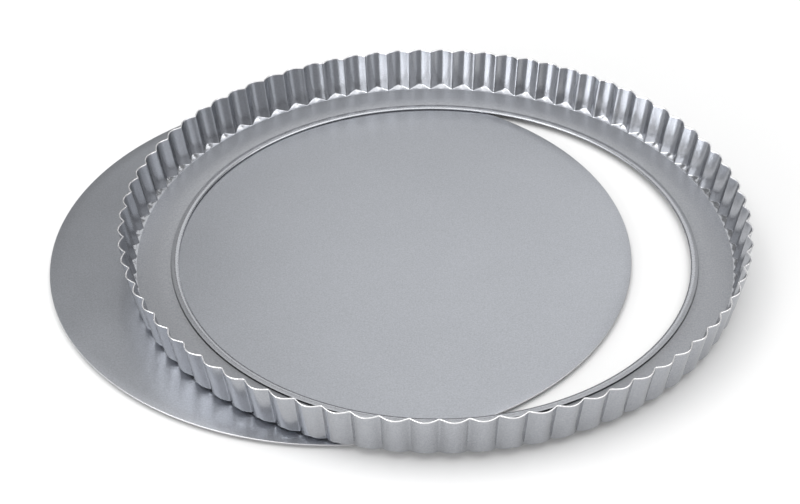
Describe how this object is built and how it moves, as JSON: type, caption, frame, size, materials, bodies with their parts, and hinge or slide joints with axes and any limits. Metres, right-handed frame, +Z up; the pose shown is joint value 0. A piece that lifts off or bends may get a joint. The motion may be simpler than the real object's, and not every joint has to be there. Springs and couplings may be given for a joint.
{
  "type": "loose-bottom tart pan",
  "caption": "Round fluted baking ring with an inward ledge and hemmed opening, lying on the flat loose base disc that drops into it.",
  "frame": {"origin": "centre of the loose base's underside, on the surface that the pan lies on", "axes": "+Z up, square to the base; +X from the base's centre towards the ring's axis, which stands 45 mm off it; +Y completes the right-handed set"},
  "size_m": [0.3352, 0.3, 0.024],
  "materials": {
    "base_metal": "satin silver-grey coating with a fine metallic grain on flat steel sheet",
    "ring_metal": "satin silver-grey coating on pressed steel sheet, brighter on the flutes, with a bright cut rim"
  },
  "bodies": {
    "base": {"loose_base": "base_metal"},
    "ring": {"fluted_ring": "ring_metal"}
  },
  "joints": [
    {"name": "ring_lift", "type": "slide", "parent": "base", "child": "ring", "axis": [0, 0, 1], "range_m": [0, 0.1]}
  ]
}
